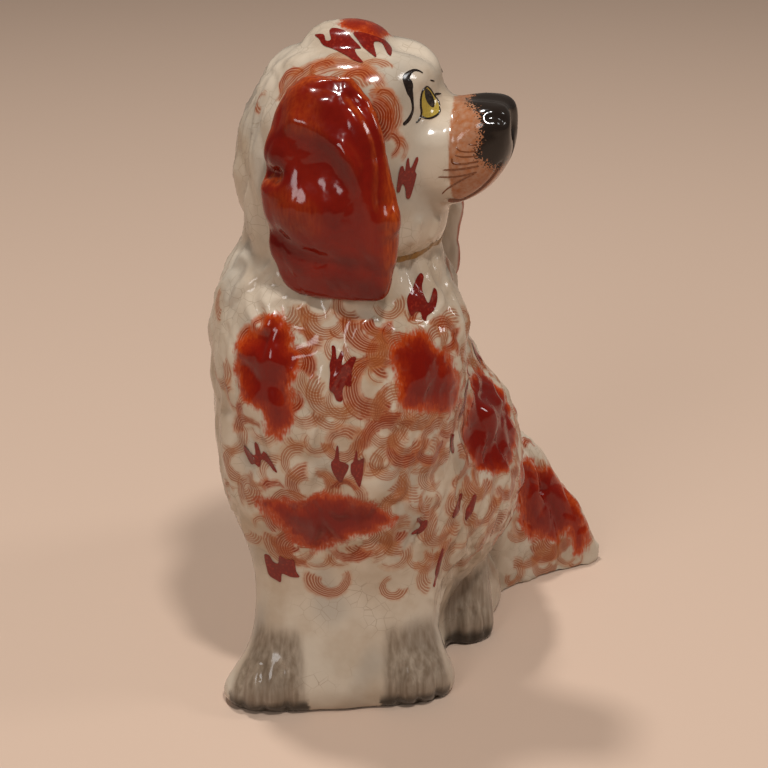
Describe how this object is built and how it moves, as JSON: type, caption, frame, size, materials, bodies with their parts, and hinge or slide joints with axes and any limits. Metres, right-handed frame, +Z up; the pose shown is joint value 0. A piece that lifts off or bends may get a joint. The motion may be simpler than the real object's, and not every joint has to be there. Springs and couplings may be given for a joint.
{
  "type": "seated spaniel figure",
  "caption": "Seated earthenware spaniel ornament with its head turned to the side, russet patches, yellow eyes and a plain wall side.",
  "frame": {"origin": "on the table, under the middle of the figure, on the underside of the base slab", "axes": "+Z up; -Y is the decorated side, where the face looks; -X is the way the chest and the forelegs point; +X is towards the tail"},
  "size_m": [0.2103, 0.1433, 0.305],
  "materials": {
    "white_glaze": "clear lead glaze over white earthenware with hand-painted enamel patches",
    "russet_glaze": "russet enamel under a clear glossy glaze",
    "fired_clay": "unglazed fired clay, matt"
  },
  "bodies": {
    "root": {"trunk_display_pressing": "white_glaze", "trunk_back_pressing": "white_glaze", "head_face_pressing": "white_glaze", "head_back_pressing": "white_glaze", "near_ear": "russet_glaze", "far_ear": "russet_glaze", "tail": "white_glaze", "hind_paw": "white_glaze", "base_slab": "fired_clay", "foot_luting_roll": "fired_clay", "trunk_seam_roll": "fired_clay", "neck_luting_roll": "fired_clay"}
  },
  "joints": []
}
